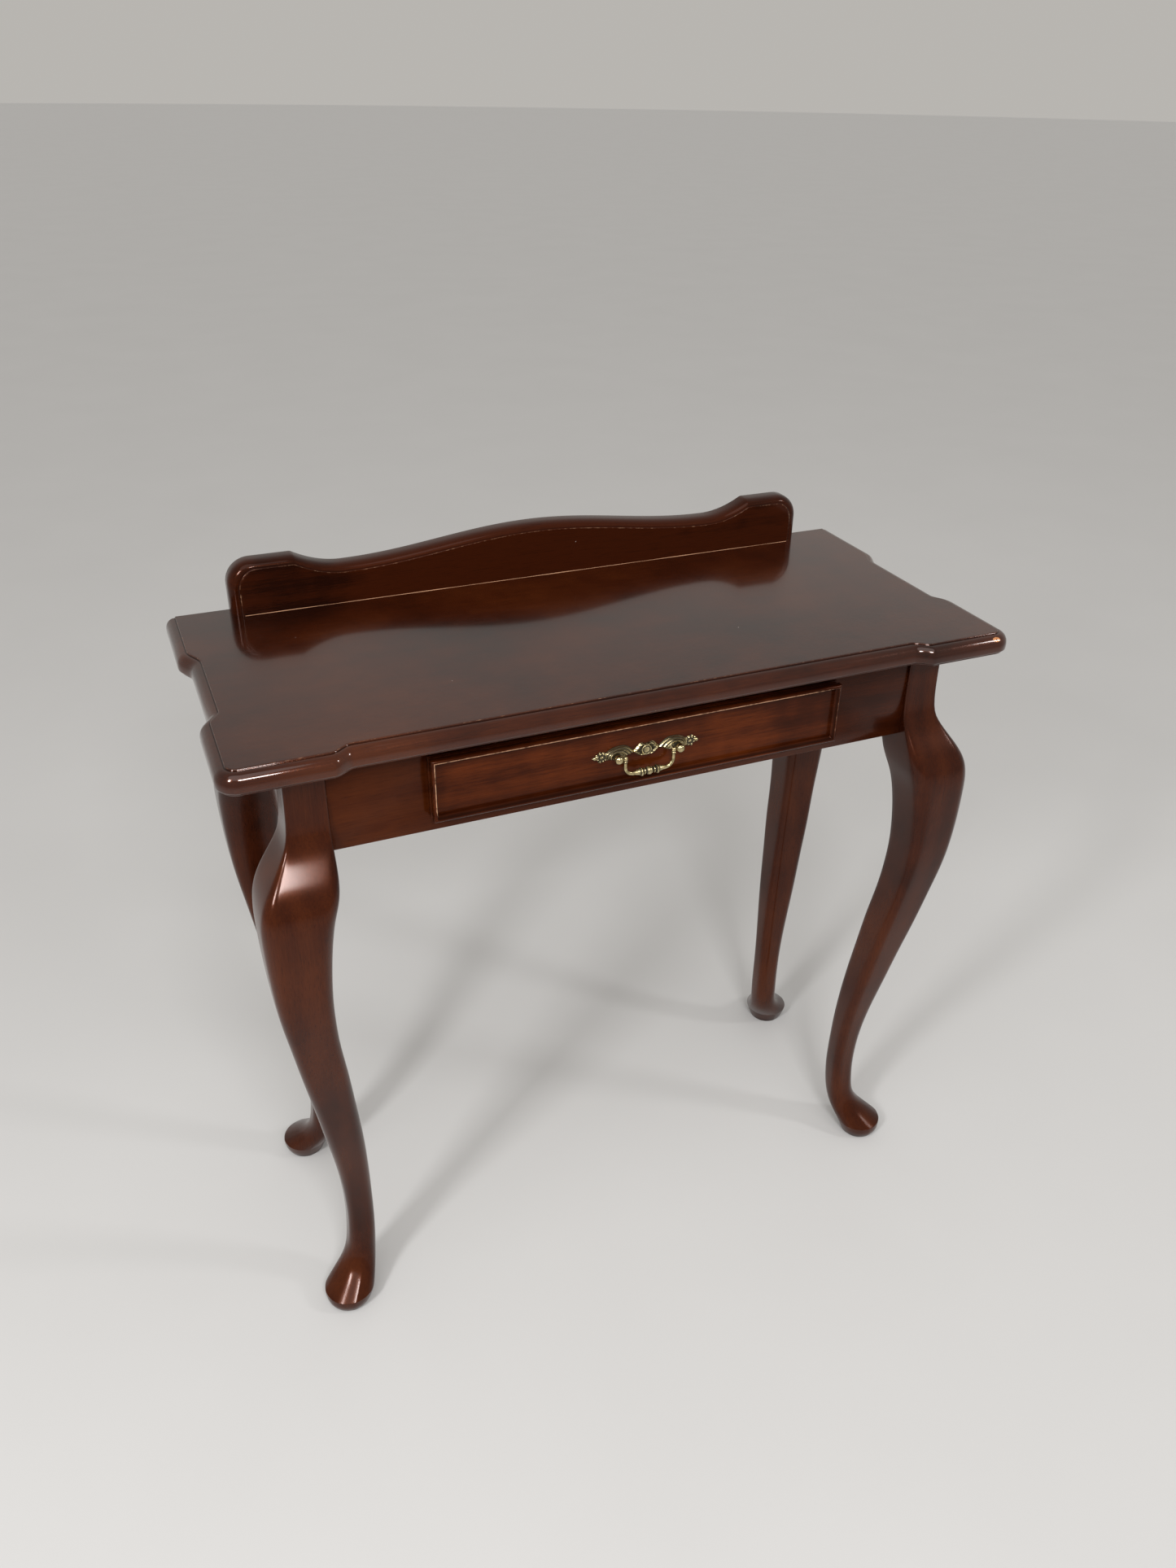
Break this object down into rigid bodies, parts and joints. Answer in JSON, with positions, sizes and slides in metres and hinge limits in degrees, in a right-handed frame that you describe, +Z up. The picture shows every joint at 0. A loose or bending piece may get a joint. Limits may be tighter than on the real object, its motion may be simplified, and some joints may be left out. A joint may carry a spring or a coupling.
{
  "type": "side table with drawer",
  "caption": "Shallow mahogany side table on cabriole legs, with a serpentine moulded top, a shaped gallery along the back and a lipped drawer with a drop handle.",
  "frame": {"origin": "on the floor, under the middle of the top", "axes": "+X along the table to its right-hand end, the drawer front faces -Y, +Z up"},
  "size_m": [0.802, 0.352, 0.7813],
  "materials": {
    "mahogany_top": "high gloss varnish",
    "mahogany_frame": "high gloss varnish",
    "mahogany_front": "high gloss varnish",
    "inner_softwood": "planed, bare",
    "drawer_plywood": "sanded, bare",
    "antique_brass": "antiqued, highlights rubbed bright",
    "screw_steel": "zinc plated"
  },
  "bodies": {
    "carcass": {"table_top": "mahogany_top", "gallery": "mahogany_top", "gallery_screws": "screw_steel", "front_left_leg": "mahogany_frame", "front_right_leg": "mahogany_frame", "rear_left_leg": "mahogany_frame", "rear_right_leg": "mahogany_frame", "front_apron": "mahogany_front", "rear_apron": "mahogany_frame", "left_apron": "mahogany_frame", "right_apron": "mahogany_frame", "front_left_block": "inner_softwood", "front_right_block": "inner_softwood", "rear_left_block": "inner_softwood", "rear_right_block": "inner_softwood", "block_screws": "screw_steel", "left_runner": "inner_softwood", "right_runner": "inner_softwood", "left_guide": "inner_softwood", "right_guide": "inner_softwood", "left_kicker": "inner_softwood", "right_kicker": "inner_softwood", "top_screws": "screw_steel"},
    "drawer": {"drawer_front": "mahogany_front", "drawer_left_side": "inner_softwood", "drawer_right_side": "inner_softwood", "drawer_back": "inner_softwood", "drawer_bottom": "drawer_plywood", "drawer_bottom_screws": "screw_steel", "handle_backplate": "antique_brass", "left_handle_post": "antique_brass", "right_handle_post": "antique_brass", "handle_nuts": "screw_steel"},
    "bail": {"handle_bail": "antique_brass"}
  },
  "joints": [
    {"name": "drawer_slide", "type": "slide", "parent": "carcass", "child": "drawer", "axis": [0, -1, 0], "range_m": [0, 0.15]},
    {"name": "handle_swing", "type": "hinge", "parent": "drawer", "child": "bail", "pos_m": [0, -0.15, 0.65], "axis": [-1, 0, 0], "range_deg": [-10, 95]}
  ]
}
